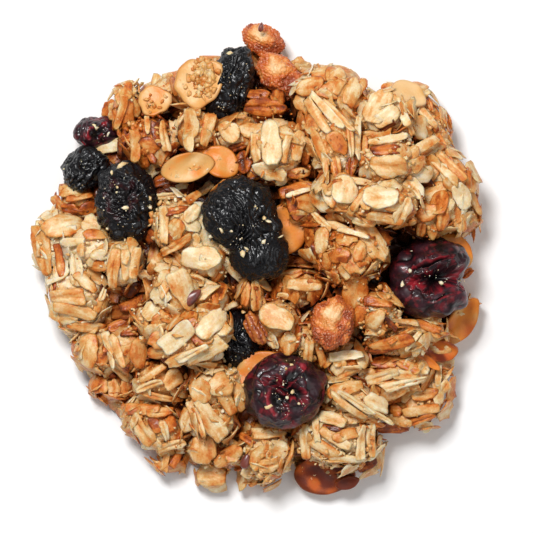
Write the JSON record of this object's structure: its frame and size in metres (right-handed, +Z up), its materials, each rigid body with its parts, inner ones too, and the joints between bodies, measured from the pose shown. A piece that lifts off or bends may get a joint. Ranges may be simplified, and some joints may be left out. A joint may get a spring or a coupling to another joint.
{
  "type": "heap of granola with dried berries",
  "caption": "Loose heap of baked oat granola clusters with dried dark berries, cranberries, almond slices and sugared nuts.",
  "frame": {"origin": "on the table, under the middle of the heap", "axes": "+Z up, away from the table; +Y towards the top of the heap as seen from straight above, +X to its right"},
  "size_m": [0.0948, 0.0998, 0.0326],
  "materials": {
    "oats": "matte, baked oat flakes with a little honey shine",
    "berry": "wrinkled, near black with a soft shine",
    "cranberry": "wrinkled, dark red and glossy",
    "sugared_nut": "rough baked sugar, amber brown",
    "almond": "smooth, toasted, slightly glazed"
  },
  "bodies": {
    "root": {"oat_heap": "oats", "dried_berry_centre": "berry", "dried_berry_west": "berry", "dried_berry_shoulder": "berry", "dried_berry_north": "berry", "dried_berry_deep": "berry", "dried_cranberry_south": "cranberry", "dried_cranberry_east": "cranberry", "dried_cranberry_corner": "cranberry", "sugared_nut_middle": "sugared_nut", "sugared_nut_north": "sugared_nut", "sugared_nut_tip": "sugared_nut", "pecan_sliver": "sugared_nut", "almond_middle": "almond", "almond_east": "almond", "almond_northeast": "almond", "almond_tile": "almond", "almond_splinter": "almond", "almond_south": "almond", "almond_chip": "almond", "almond_under": "almond", "almond_north": "almond", "almond_northwest": "almond", "almond_saddle": "almond", "almond_saddle_back": "almond", "almond_crown": "almond"}
  },
  "joints": []
}
